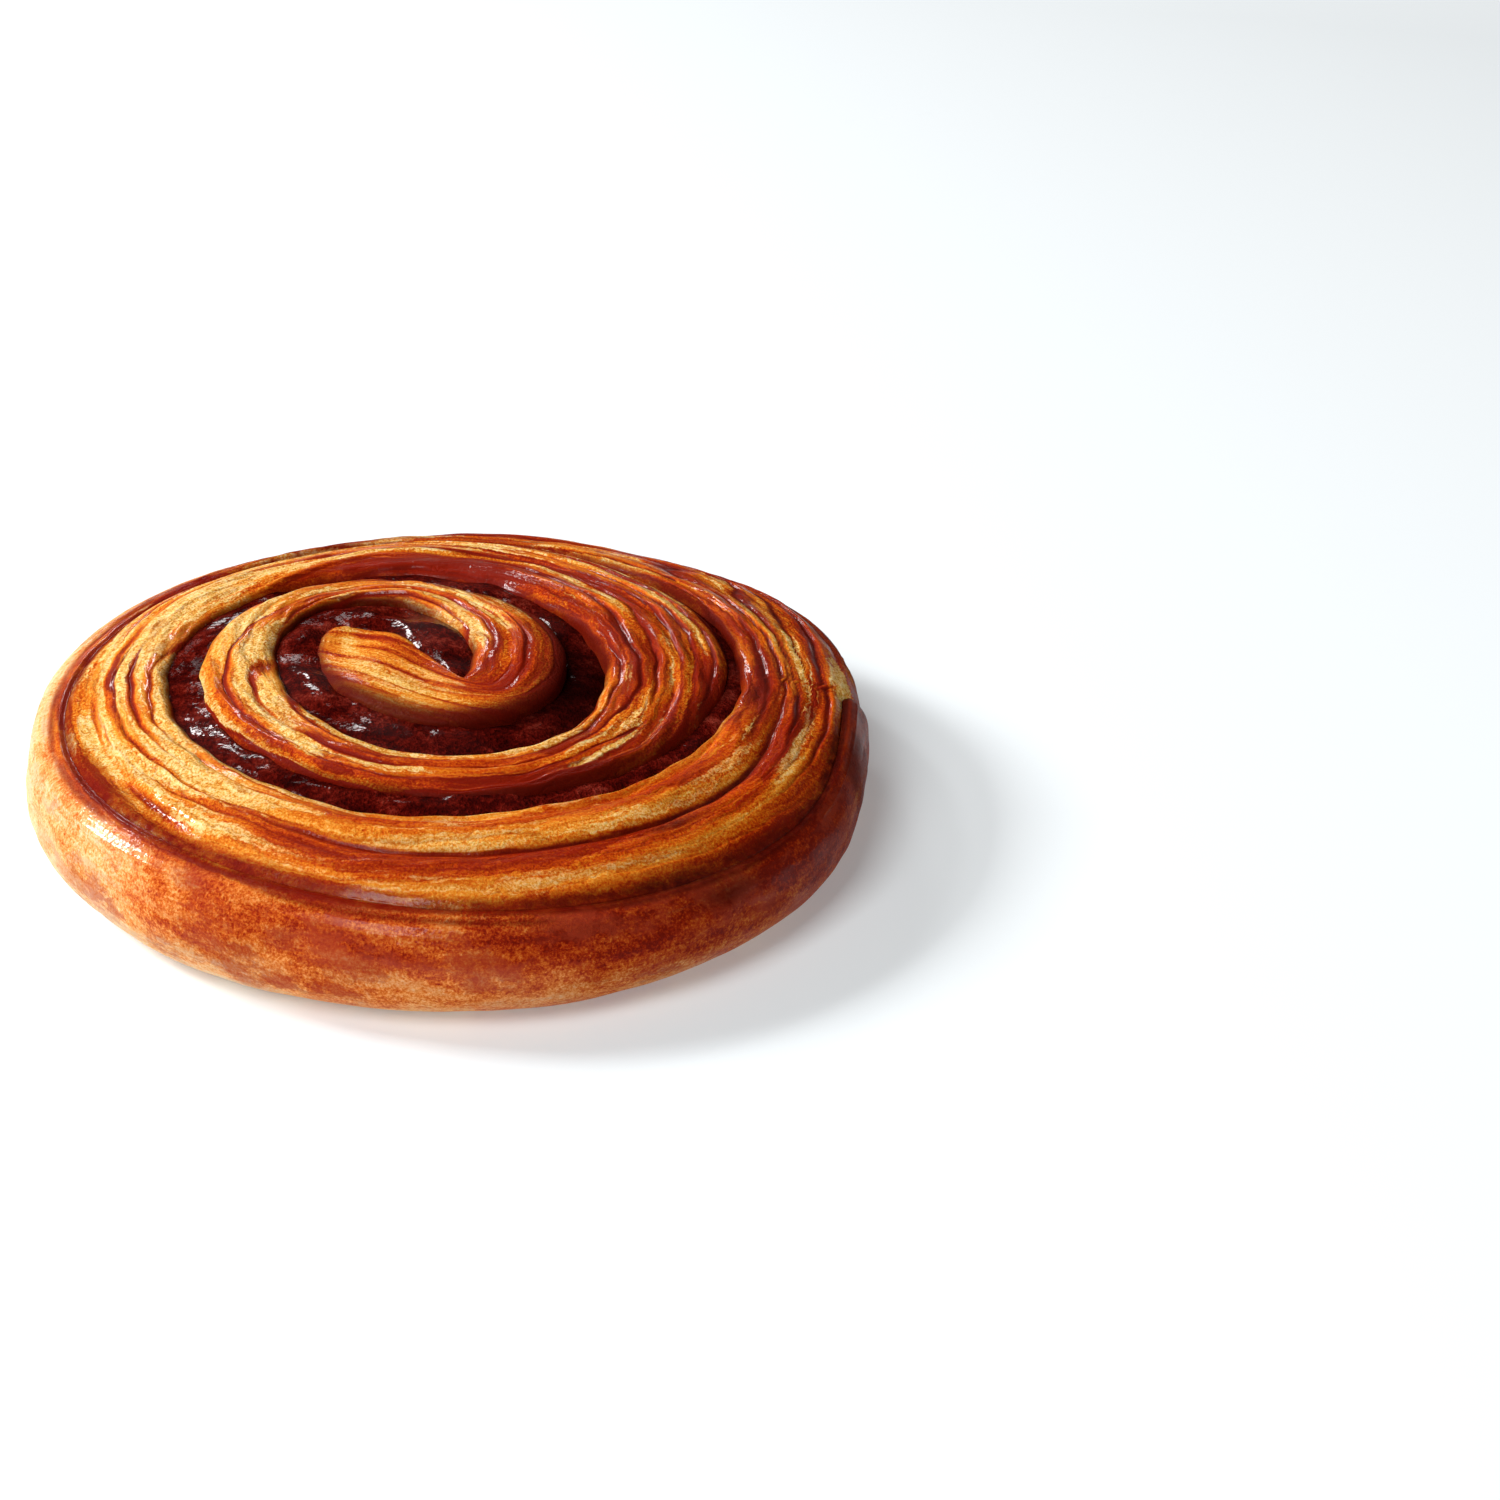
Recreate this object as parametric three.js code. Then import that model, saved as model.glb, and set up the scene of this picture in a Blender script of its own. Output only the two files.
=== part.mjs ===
// A cinnamon roll: one strip of laminated dough rolled up round a cinnamon filling,
// cut to a disc and baked flat on a tray. Millimetres, +Z up, origin on the tray
// under the middle of the roll. Positions along the roll are counted in turns.
import * as THREE from "three";

// Disc and wall
const WALL_START = 52.2; // widest part of the outer wall where the last lap begins
const WALL_GROWTH = 3.0; // growth of the wall over that lap
const WALL_SWELL = [[1.1, 112, 2], [0.7, 35, 3], [0.5, 30, 4]]; // size, direction in degrees, lobes
const WALL_PROFILE = [[0, 5.2], [1.5, 2.8], [4.2, 0.7], [8, 0], [11, 0.5]]; // height, set-in there
const RIM_SET_IN = 1.5;
const TAIL_TAPER = 2.3; // the strip's outer end thins by this much and lies almost flush
const TAIL_LENGTH = 0.1; // part of a turn over which it does
const TAIL_NOTCH = 0.006; // part of a turn between its end and the wall that carries on
const FOOT_TAPER = 0.085; // how far the laps draw in towards the tray, at FOOT_TAPER_RADIUS
const FOOT_TAPER_RADIUS = 50;

// Domed top
const DOME_RIM = 8.7; // height that the dome starts from
const DOME_RISE = 11.0;
const DOME_TILT = [-0.02, 0.005]; // slope of the whole top, the roll being thicker on its left
const DOME_REACH = 58.2;
const DOME_FLATNESS = 3.2;
const DOME_FULLNESS = 0.6;

// The rolled-up line of the filling: an oval spiral round an eye that lies off the middle
const EYE = [-7.4, -0.5];
const SPIRAL_START = 5.6; // distance from the eye where the filling begins
const PITCH = 13.1; // growth of that distance in the first turn
const PITCH_GROWTH = 1.12; // extra growth, per turn squared
const LAP_LEAST = 2.2; // the last lap is never thinner than about this
const LAP_SOFTNESS = 1.2; // how gently the seam bends to run along inside the wall
const HELD_FROM = 2; // turn of the filling from which the wall holds it in
const CORE_STRETCH = 6.5; // how far the flat-folded core stretches the first turn
const RIM_STRETCH = 1.2; // what is left of that at the rim
const CORE_DIRECTION = THREE.MathUtils.degToRad(125);
const FILLING_TURNS = 3;
const FILLING_STOP = FILLING_TURNS - 1 / 48; // the filling ends just short of the strip's outer end
const STRIP_TURNS = FILLING_TURNS + 1; // the dough goes round once more, outside the filling
const TONGUE_TIP = 20 / 48; // turn at which the filling rounds the inner end of the dough
const HOOK_END = 0.028; // part of a turn by which the dough closes round the filling's inner end
const TIP_BLUNT = 1 / 48; // part of a turn that the blunt end of the dough takes up
const STEPS_PER_TURN = 48;

// Reach of the filling to both sides of its middle line, as [turn, inwards, outwards]
const FILLING_REACH = [
  [0, 1.1, 1.9], [0.1, 2.6, 3.3], [0.27, 3.7, 3.6], [0.46, 2.8, 1.5], [0.6, 3.2, 2.0], [0.77, 3.7, 4.5],
  [0.9, 3.1, 3.8], [1.06, 2.0, 1.8], [1.25, 2.5, 2.4], [1.5, 1.2, 2.2], [1.62, 1.3, 2.3], [1.72, 1.5, 2.8],
  [1.8, 1.5, 1.5], [1.9, 1.4, 0.9], [2.05, 0.6, 0.6], [2.2, 0.4, 0.4], [FILLING_TURNS, 0.3, 0.3],
];
const CLEARANCE = 0.35; // between dough and filling
const FILLING_LIFT = 0.4; // underside of the filling above the tray
const FILLING_DEPTH = 1.1; // top of the filling below the dome
const SEAM_DROP = 0.5; // the thin seam near the wall lies this much deeper
const SEAM_TURNS = [2, 2.3]; // turns between which the filling sinks to that
const FILLING_LEAN = 0.3; // how much higher it lies on its inner side
const FILLING_CROWN = 0.6;

// Relief of the dough's cut edge: puffed layers that run along the strip
const LAYER_EDGES = [0, 0.2, 0.42, 0.72, 1]; // grooves, as shares of the strip's width
const POINTS_PER_LAYER = 3;
const LAYER_HEIGHT = [0.85, 0.6, 0.95, 0.7];
const LAYER_WAVES = [1.7, 2.3, 1.3, 2.9]; // swellings of each layer per turn
const LAYER_SWELL = 0.35; // share of its height by which a layer swells and shrinks along the strip
const CROWN = 1.1; // middle of the strip above its edges
const LAYER_FULL_WIDTH = 9; // strip width from which its layers puff up fully
const TELESCOPE = 0.5; // how far the innermost full lap is pushed up above the dome
const TELESCOPE_TURNS = [0.6, 1.1, 1.2, 1.9]; // turns at which it starts up, is up, starts down, is down
const UNEVEN = [[0.25, 3, 0.9], [0.15, 5, 0]]; // rises and dips along the strip: size, number per turn, phase
const LAP_DROP = 0.25; // the last lap lies lower than the one inside it
const LAP_DROP_TURNS = [3.1, 3.5]; // turns between which it comes down
const STEP_DOWN = 0.4; // each lap falls away towards its outer edge

// Two full rolls that lie side by side along the front of the last coil, with a groove between them
const ROLL_TURNS = [2.63, 2.74, 2.9, 3.0]; // turns at which they start, are full, start to fade and end
const ROLL_HEIGHT = 1.3;
const ROLL_SINK = 0.7; // share of that height by which both are let into the coil
const GROOVE_SHARE = 0.5; // place of the groove, as a share of the strip's width
const OUTER_ROLL_END = 1.15; // far side of the outer roll, which lies under the last lap, as such a share

const smooth = (a, b, x) => THREE.MathUtils.smoothstep(x, a, b);
const degrees = (a) => THREE.MathUtils.degToRad(a);

// Rise from 0 to 1 and fall back to 0 over four turns of the strip.
const upAndDown = ([start, full, fade, end], turn) =>
  smooth(start, full, turn) * (1 - smooth(fade, end, turn));

// Reach of the filling at a turn, inwards (side 1) or outwards (side 2).
function fillingReach(turn, side) {
  let i = 1;
  while (i < FILLING_REACH.length - 1 && FILLING_REACH[i][0] < turn) i++;
  const [before, after] = [FILLING_REACH[i - 1], FILLING_REACH[i]];
  return THREE.MathUtils.lerp(before[side], after[side], smooth(before[0], after[0], turn));
}

// Widest radius of the outer wall at a turn of the strip's last lap.
function wallRadius(turn) {
  const angle = 2 * Math.PI * turn;
  const tail = TAIL_TAPER * smooth(STRIP_TURNS - TAIL_LENGTH, STRIP_TURNS, turn);
  const swell = (sum, [size, direction, lobes]) =>
    sum + size * Math.cos(lobes * (angle - degrees(direction)));
  return WALL_SWELL.reduce(swell, WALL_START + WALL_GROWTH * (turn - FILLING_TURNS)) - tail;
}

// Point of the spiral at a turn, moved outwards from the filling's middle line.
function spiralPoint(turn, outwards) {
  const left = THREE.MathUtils.clamp(1 - turn / FILLING_TURNS, 0, 1);
  const free = SPIRAL_START + PITCH * turn + PITCH_GROWTH * turn * turn;
  const over = (free - wallRadius(turn + 1) + RIM_SET_IN + LAP_LEAST) / LAP_SOFTNESS;
  const held = turn < HELD_FROM ? 0 : LAP_SOFTNESS * Math.log1p(Math.exp(over));
  const reach = free - held + outwards;
  const stretch = RIM_STRETCH + (CORE_STRETCH - RIM_STRETCH) * left;
  const angle = 2 * Math.PI * turn - CORE_DIRECTION;
  return new THREE.Vector2((stretch + reach) * Math.cos(angle), reach * Math.sin(angle))
    .rotateAround(new THREE.Vector2(), CORE_DIRECTION)
    .add(new THREE.Vector2(...EYE).multiplyScalar(left));
}

const fillingInner = (turn, gap) => spiralPoint(turn, -fillingReach(turn, 1) - gap);
const fillingOuter = (turn, gap) => spiralPoint(turn, fillingReach(turn, 2) + gap);

function wallPoint(turn, setIn) {
  const radius = wallRadius(turn) - setIn;
  return new THREE.Vector2(radius * Math.cos(2 * Math.PI * turn), radius * Math.sin(2 * Math.PI * turn));
}

function domeHeight(point) {
  const share = Math.min(point.length() / DOME_REACH, 1);
  const tilt = point.dot(new THREE.Vector2(...DOME_TILT));
  return DOME_RIM + DOME_RISE * (1 - share ** DOME_FLATNESS) ** DOME_FULLNESS + tilt;
}

// Where a point at the top of a lap's face comes down on the tray.
const footOf = (point) =>
  point.clone().multiplyScalar(1 - FOOT_TAPER * (point.length() / FOOT_TAPER_RADIUS) ** 4);

// How far a lap of the dough is pushed up, as in a telescope, at a turn of the strip.
const lapRise = (turn) => TELESCOPE * upAndDown(TELESCOPE_TURNS, turn);

// Inner face of the dough: back along the tongue, round the end of the filling, then outside the filling.
function doughInner(turn) {
  if (turn >= 1) return fillingOuter(turn - 1, CLEARANCE);
  const along = (turn - TONGUE_TIP) / (1 - TONGUE_TIP);
  const roundFrom = 0.8;
  if (along <= roundFrom) return fillingInner((TONGUE_TIP - TIP_BLUNT) * (1 - along / roundFrom), CLEARANCE);
  const side = (along - roundFrom) / (1 - roundFrom);
  const before = -HOOK_END * Math.sin(Math.PI * side);
  return fillingInner(before, CLEARANCE).lerp(fillingOuter(before, CLEARANCE), side);
}

const doughOuter = (turn) =>
  turn < FILLING_TURNS + TAIL_NOTCH / 2 ? fillingInner(turn, CLEARANCE) : wallPoint(turn, RIM_SET_IN);

// Height of the dough's top at a share (0 to 1) of the way from its inner to its outer face.
function doughHeight(turn, share, point, width) {
  const layer = Math.max(LAYER_EDGES.findIndex((edge) => edge >= share) - 1, 0);
  const inLayer = (share - LAYER_EDGES[layer]) / (LAYER_EDGES[layer + 1] - LAYER_EDGES[layer]);
  const swelling = 1 - LAYER_SWELL * (1 - Math.sin(2 * Math.PI * LAYER_WAVES[layer] * turn + 2 * layer));
  const room = smooth(0, LAYER_FULL_WIDTH, width);
  const puff = LAYER_HEIGHT[layer] * room * swelling * Math.sin(Math.PI * inLayer);
  const pastGroove = (share - GROOVE_SHARE) / (OUTER_ROLL_END - GROOVE_SHARE);
  const inRoll = share < GROOVE_SHARE ? share / GROOVE_SHARE : pastGroove;
  const rollTop = ROLL_HEIGHT * (Math.sqrt(1 - (2 * inRoll - 1) ** 2) - ROLL_SINK);
  const layers = THREE.MathUtils.lerp(puff, rollTop, upAndDown(ROLL_TURNS, turn));
  const crown = CROWN * room * (0.5 - Math.abs(2 * share - 1) ** 3);
  const lap = LAP_DROP * smooth(...LAP_DROP_TURNS, turn);
  const wave = (sum, [size, number, phase]) => sum + size * Math.sin(2 * Math.PI * number * turn + phase);
  const relief = UNEVEN.reduce(wave, layers + crown - STEP_DOWN * room * (share - 0.5));
  return domeHeight(point) + lapRise(turn) - lap + relief;
}

// Closed mesh through sections that all have the same number of points, with flat ends.
function loft(sections) {
  const count = sections[0].length;
  const positions = sections.flat().flatMap((p) => p.toArray());
  const faces = [];
  for (let i = 0; i + 1 < sections.length; i++) {
    for (let j = 0; j < count; j++) {
      const [a, b] = [i * count + j, i * count + ((j + 1) % count)];
      faces.push(a, b, a + count, b, b + count, a + count);
    }
  }
  for (const i of [0, sections.length - 1]) {
    const middle = positions.length / 3;
    positions.push(...new THREE.Box3().setFromPoints(sections[i]).getCenter(new THREE.Vector3()).toArray());
    for (let j = 0; j < count; j++) {
      const [a, b] = [i * count + j, i * count + ((j + 1) % count)];
      faces.push(...(i === 0 ? [b, a, middle] : [a, b, middle]));
    }
  }
  const geometry = new THREE.BufferGeometry();
  geometry.setAttribute("position", new THREE.Float32BufferAttribute(positions, 3));
  geometry.setIndex(faces);
  geometry.computeVertexNormals();
  return geometry;
}

const raised = (point, z) => new THREE.Vector3(point.x, point.y, z);

// Point of a lap's leaning face at a height.
const leaning = (point, z) => raised(footOf(point).lerp(point, z / domeHeight(point)), z);

const turnsBetween = (from, to) => {
  const steps = Math.round((to - from) * STEPS_PER_TURN);
  return Array.from({ length: steps + 1 }, (_, i) => from + ((to - from) * i) / steps);
};

// Shares of the strip's width at which its top has points.
const topShares = LAYER_EDGES.slice(1).flatMap((edge, layer) =>
  Array.from({ length: POINTS_PER_LAYER }, (_, i) =>
    THREE.MathUtils.lerp(LAYER_EDGES[layer], edge, i / POINTS_PER_LAYER))).concat(1);

// Section of the dough, from the foot of its inner face over the top to the foot of its outer face.
function doughSection(turn) {
  const [inner, outer] = [doughInner(turn), doughOuter(turn)];
  const isWall = turn > FILLING_TURNS + TAIL_NOTCH / 2;
  const section = [leaning(inner, 0)];
  for (const share of topShares) {
    const point = inner.clone().lerp(outer, share);
    const z = doughHeight(turn, share, point, inner.distanceTo(outer));
    section.push(leaning(point, z).lerp(raised(point, z), isWall ? share : 0));
  }
  for (const [z, setIn] of [...WALL_PROFILE].reverse()) {
    section.push(isWall ? raised(wallPoint(turn, setIn), z) : leaning(outer, z));
  }
  return section;
}

// Section of the filling, which stands between two laps of the dough from tray to top.
function fillingSection(turn) {
  const [inner, outer] = [fillingInner(turn, 0), fillingOuter(turn, 0)];
  const section = [leaning(inner, FILLING_LIFT)];
  for (const share of [0, 0.25, 0.5, 0.75, 1]) {
    const point = inner.clone().lerp(outer, share);
    const crown = FILLING_CROWN * Math.sin(Math.PI * share);
    const depth = FILLING_DEPTH + SEAM_DROP * smooth(...SEAM_TURNS, turn);
    const top = domeHeight(point) + lapRise(turn + 1) - depth;
    section.push(leaning(point, top + crown - FILLING_LEAN * (share - 0.5)));
  }
  section.push(leaning(outer, FILLING_LIFT));
  return section;
}

function solid(name, sections, material) {
  const mesh = new THREE.Mesh(loft(sections), new THREE.MeshStandardMaterial(material));
  mesh.name = name;
  return mesh;
}

const doughTurns = [
  ...turnsBetween(TONGUE_TIP, FILLING_TURNS),
  ...turnsBetween(FILLING_TURNS + TAIL_NOTCH, STRIP_TURNS),
];

const roll = new THREE.Group();
roll.add(
  solid("dough", doughTurns.map(doughSection),
    { color: 0xc8742a, roughness: 0.4, metalness: 0 }),
  solid("filling", turnsBetween(0, FILLING_STOP).map(fillingSection),
    { color: 0x4a1a12, roughness: 0.25, metalness: 0 }),
);

// The middle of the roll's box goes over the origin, its underside onto the tray.
const extent = new THREE.Box3().setFromObject(roll);
const middle = extent.getCenter(new THREE.Vector3());
roll.children.forEach((mesh) => mesh.geometry.translate(-middle.x, -middle.y, -extent.min.z));

export default roll;
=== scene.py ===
# Cinnamon roll: a strip of laminated dough wound into a spiral round a dark cinnamon filling,
# baked flat on a tray and brushed with clear glaze. Shapes are worked out in millimetres.
import math

import bpy
import numpy as np
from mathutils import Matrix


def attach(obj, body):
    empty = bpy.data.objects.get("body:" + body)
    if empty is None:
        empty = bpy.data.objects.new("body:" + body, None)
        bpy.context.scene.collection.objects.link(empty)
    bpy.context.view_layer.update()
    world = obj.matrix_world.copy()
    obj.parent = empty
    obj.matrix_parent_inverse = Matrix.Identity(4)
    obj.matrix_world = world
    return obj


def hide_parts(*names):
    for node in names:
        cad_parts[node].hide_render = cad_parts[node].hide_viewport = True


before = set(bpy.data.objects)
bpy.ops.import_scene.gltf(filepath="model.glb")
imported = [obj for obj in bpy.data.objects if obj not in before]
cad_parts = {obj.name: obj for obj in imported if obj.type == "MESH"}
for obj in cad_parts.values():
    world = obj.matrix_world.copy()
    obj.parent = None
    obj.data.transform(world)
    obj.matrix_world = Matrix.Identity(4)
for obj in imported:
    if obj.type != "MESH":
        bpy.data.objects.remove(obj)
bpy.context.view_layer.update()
bpy.ops.object.select_all(action="DESELECT")

# The dough: one strip of laminated pastry, rolled up from a blunt tongue in the middle and stuck
# down at the right of the wall. Its cut edge has puffed into ridges and flakes that run along it.
# Places along the strip are counted in turns, anticlockwise from the right.
millimetre = 0.001
roll_middle = np.array([-0.564, -1.409])
eye = np.array([-7.4, -0.5])
core_direction = math.radians(125)
filling_turns = 3.0
roll_end = 4.0
plan_step = 1 / 48
tongue_tip = 20 / 48
edge_gap = 0.1


def smooth(start, end, value):
    share = np.clip((value - start) / (end - start), 0, 1)
    return share * share * (3 - 2 * share)


def between(value, start, full, fade, end):
    return smooth(start, full, value) * (1 - smooth(fade, end, value))


def hump(value, middle, reach):
    return np.exp(-(((value - middle) / reach) ** 2))


# Chance: a smooth field of seeded random heights, with one height for each step along and across.
chance_rows = 256
chance_columns = 64


def drift(seed, long_place, cross_place):
    table = np.random.default_rng(seed).random((chance_rows, chance_columns))
    row = np.floor(long_place).astype(int)
    column = np.floor(cross_place).astype(int)
    onward = smooth(0, 1, long_place - row)
    sideways = smooth(0, 1, cross_place - column)

    def corner(row_step, column_step):
        return table[(row + row_step) % chance_rows, (column + column_step) % chance_columns]

    near = corner(0, 0) * (1 - onward) + corner(1, 0) * onward
    far = corner(0, 1) * (1 - onward) + corner(1, 1) * onward
    return near * (1 - sideways) + far * sideways


def swell(seed, long_place, cross_place):
    return drift(seed, long_place, cross_place) - 0.5


# Wall: the outside of the last lap, nearly round, which steps in where the strip ends.
wall_reach = 52.2
wall_growth = 3.0
wall_lobes = ((1.1, 112, 2), (0.7, 35, 3), (0.5, 30, 4))
end_step = 2.3


def wall_radius(turn):
    angle = 2 * np.pi * turn
    radius = wall_reach + wall_growth * (turn - filling_turns)
    for size, direction, lobes in wall_lobes:
        radius = radius + size * np.cos(lobes * (angle - math.radians(direction)))
    return radius - end_step * smooth(3.9, roll_end, turn)


# Spiral: the middle of the filling, an oval round the eye that the wall presses round at the end,
# and how far the filling reaches from it inwards and outwards.
band_turns = (0, 0.1, 0.27, 0.46, 0.6, 0.77, 0.9, 1.06, 1.25, 1.5, 1.62, 1.72, 1.8, 1.9, 2.05, 2.2, 2.4, 3)
band_inwards = (1.1, 2.6, 3.7, 2.8, 3.2, 3.7, 3.1, 2.0, 2.5, 1.2, 1.3, 1.5, 1.5, 1.4, 0.6, 0.1, 0, 0)
band_outwards = (1.9, 3.3, 3.6, 1.5, 2.0, 4.5, 3.8, 1.8, 2.4, 2.2, 2.3, 2.8, 1.5, 0.9, 0.6, 0.1, 0, 0)
first_reach = 5.6
lap_reach = 13.1
lap_growth = 1.12
rim_round = 1.5
thinnest_lap = 2.2
squeeze = 1.2
end_stretch = 1.2
core_stretch = 5.3


def eased(value, places, levels):
    places = np.asarray(places, dtype=float)
    levels = np.asarray(levels, dtype=float)
    slopes = np.gradient(levels, places)
    before = np.clip(np.searchsorted(places, value) - 1, 0, len(places) - 2)
    after = before + 1
    gap = places[after] - places[before]
    share = np.clip((value - places[before]) / gap, 0, 1)
    blend = share * share * (3 - 2 * share)
    bend = share * (1 - share) * gap
    straight = levels[before] + (levels[after] - levels[before]) * blend
    return straight + bend * (slopes[before] * (1 - share) - slopes[after] * share)


def filling_half(turn, side):
    reaches = band_outwards if side > 0 else band_inwards
    return np.maximum(eased(turn, band_turns, reaches), 0)


def spiral(turn, outwards):
    left = np.clip(1 - turn / filling_turns, 0, 1)
    free = first_reach + lap_reach * turn + lap_growth * turn * turn
    over = (free - wall_radius(turn + 1) + rim_round + thinnest_lap) / squeeze
    held = np.where(turn < 2, 0, squeeze * np.log1p(np.exp(np.minimum(over, 30))))
    reach = free - held + outwards
    stretch = end_stretch + core_stretch * left
    angle = 2 * np.pi * turn - core_direction
    long_way = (stretch + reach) * np.cos(angle)
    short_way = reach * np.sin(angle)
    turned = (math.cos(core_direction), math.sin(core_direction))
    x = eye[0] * left + long_way * turned[0] - short_way * turned[1]
    y = eye[1] * left + long_way * turned[1] + short_way * turned[0]
    return np.stack([x, y], -1)


def filling_edge(turn, side, gap):
    return spiral(turn, side * (filling_half(turn, side) + gap))


# Heights: a low dome over the whole roll, with one lap that stands a little proud, and a foot that
# tucks in under the wall.
dome_reach = 58.2
wall_height = 8.7
dome_rise = 11.0
proud_lap = 0.5
foot_tuck = 0.085
tuck_reach = 50


def dome_height(point):
    share = np.minimum(np.hypot(point[..., 0], point[..., 1]) / dome_reach, 1)
    dome = wall_height + dome_rise * (1 - share**3.2) ** 0.6
    return dome - 0.02 * point[..., 0] + 0.005 * point[..., 1]


def lap_rise(turn):
    return proud_lap * between(turn, 0.6, 1.1, 1.2, 1.9)


def foot_of(point):
    radius = np.hypot(point[..., 0], point[..., 1])[..., None]
    return point * (1 - foot_tuck * (radius / tuck_reach) ** 4)


# Inner edge: back along the tongue, round the hook of filling behind it, and then along the lap before.
hook_start = 0.8
hook_share = 0.2
hook_reach = 0.045


def dough_inner(turn):
    share = (turn - tongue_tip) / (1 - tongue_tip)
    back_turn = (tongue_tip - plan_step) * (1 - share / hook_start)
    tongue_back = filling_edge(np.clip(back_turn, 0, 1), -1, edge_gap)
    round_hook = np.clip((share - hook_start) / hook_share, 0, 1)
    hook_turn = -hook_reach * np.sin(np.pi * round_hook)
    hook = filling_edge(hook_turn, -1, edge_gap) * (1 - round_hook)[:, None]
    hook = hook + filling_edge(hook_turn, 1, edge_gap) * round_hook[:, None]
    beside_lap = filling_edge(np.maximum(turn - 1, 0), 1, edge_gap)
    tongue_side = np.where((share <= hook_start)[:, None], tongue_back, hook)
    return np.where((turn >= 1)[:, None], beside_lap, tongue_side)


# Sections: rings of points across the strip, evenly spaced along it.
inner_points = 5
skin_points = 88
under_points = 3
ring_points = inner_points + skin_points + under_points
strip_steps = 1000
fine_turns = np.linspace(tongue_tip, roll_end, 4000)
middle_reach = 9 + lap_reach * np.maximum(fine_turns - 0.5, 0) + 0.3 * fine_turns
arc = np.concatenate([[0], np.cumsum(2 * np.pi * middle_reach[1:] * np.diff(fine_turns))])
turns = np.interp(np.linspace(0, arc[-1], strip_steps + 1), arc, fine_turns)
along = np.interp(turns, fine_turns, arc)
turn_here = turns[:, None]
of_turn = turn_here % 1
is_wall = turn_here > filling_turns
angles = 2 * np.pi * turns
outward = np.stack([np.cos(angles), np.sin(angles)], -1)
inner = dough_inner(turns)
rim = outward * (wall_radius(turns) - rim_round)[:, None]
outer = np.where(is_wall, rim, filling_edge(np.minimum(turns, filling_turns), -1, edge_gap))
width = np.hypot(*(outer - inner).T)[:, None]

# The edges of the lap wander where they face the filling, and lie close where two laps meet in a seam.
inner_waves = ((0.14, 4.9, 0), (0.12, 2.7, 1), (0.1, 1.1, 0))
outer_waves = ((0.14, 5.3, 2), (0.12, 2.9, 0), (0.1, 1.2, 0))
inner_seam = smooth(3.05, 3.25, turn_here)
outer_seam = smooth(2.05, 2.25, turn_here)


def wander(waves, seam_start):
    free = (1 - 0.85 * smooth(seam_start, seam_start + 0.2, turns)) * smooth(0.5, 1.2, turns)
    bends = sum(size * np.sin(along / length + start) for size, length, start in waves)
    return (free * bends)[:, None]


across = (outer - inner) / width
inner = inner + across * (wander(inner_waves, 3.0) - edge_gap * inner_seam)
outer = outer + across * (wander(outer_waves, 2.0) + edge_gap * outer_seam)
width = np.hypot(*(outer - inner).T)[:, None]

# The skin of each section is the top, from the inner to the outer edge, and then the outer face.
# The last lap gives more of its points to that face, because there it is the wall.
skin_index = np.arange(skin_points)[None, :] * np.ones((strip_steps + 1, 1))
last_top = np.interp(turn_here, (2.96, 3.04, 3.5, 4), (80, 62, 56, 50))
shares = np.clip(skin_index / last_top, 0, 1)
fall = np.clip((skin_index - last_top) / (skin_points - 1 - last_top), 0, 1)
run = along[:, None] + 0 * shares
from_inner = shares * width
from_outer = (1 - shares) * width
room = smooth(1, 9, width) * smooth(0.4, 1.5, turn_here)

# Layers: each has its own height, tilt and browning, and a caramel line where the next one starts.
layer_width = 2.5
layer_slant = 2.7
slanted = run + layer_slant * from_inner
lens = 2.6 * swell(3, slanted / 34, from_inner / 8) + 0.6 * swell(4, slanted / 12, from_inner / 3.5)
layer_place = from_inner / layer_width + lens + 3
layer = np.floor(layer_place)
layer_run = run + 9.7 * layer
across_layer = layer_place - layer
near_line = np.minimum(across_layer, 1 - across_layer)
front = hump(of_turn, 0.77, 0.16)
turned_layer = np.maximum(smooth(0.4, 0.6, drift(16, layer_run / 60, layer)), front)
flank = across_layer * turned_layer + (1 - across_layer) * (1 - turned_layer)
line_strength = smooth(0.25, 0.65, drift(12, layer_run / 19, layer))
line = (1 - smooth(0, 0.2, near_line)) * line_strength
bow = smooth(0, 0.3, near_line)
puff = drift(11, layer_run / 27, layer)
presence = 0.3 + 0.7 * smooth(0.3, 0.6, drift(18, layer_run / 21, layer))
relief = (0.62 * (puff - 0.45) + 0.42 * (0.5 - flank)) * bow * presence - 0.18 * line
relief = relief + 0.3 * swell(31, slanted / 3, from_inner / 0.9)
relief = relief + 0.7 * swell(32, slanted / 13, from_inner / 6)

# A fold runs along the left front, its outer flank steep and thick with glaze.
fold_depth = 0.75
fold_place = np.interp(turn_here, (2.5, 2.56, 2.605, 2.67), (4.2, 4.8, 4.5, 2.6))
in_fold = between(turn_here, 2.5, 2.55, 2.65, 2.70)
past_fold = fold_place - from_outer
fold = smooth(-0.3, 0.9, past_fold) * (1 - 0.7 * smooth(1.2, 4.0, past_fold))
relief = relief - fold_depth * in_fold * fold

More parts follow.
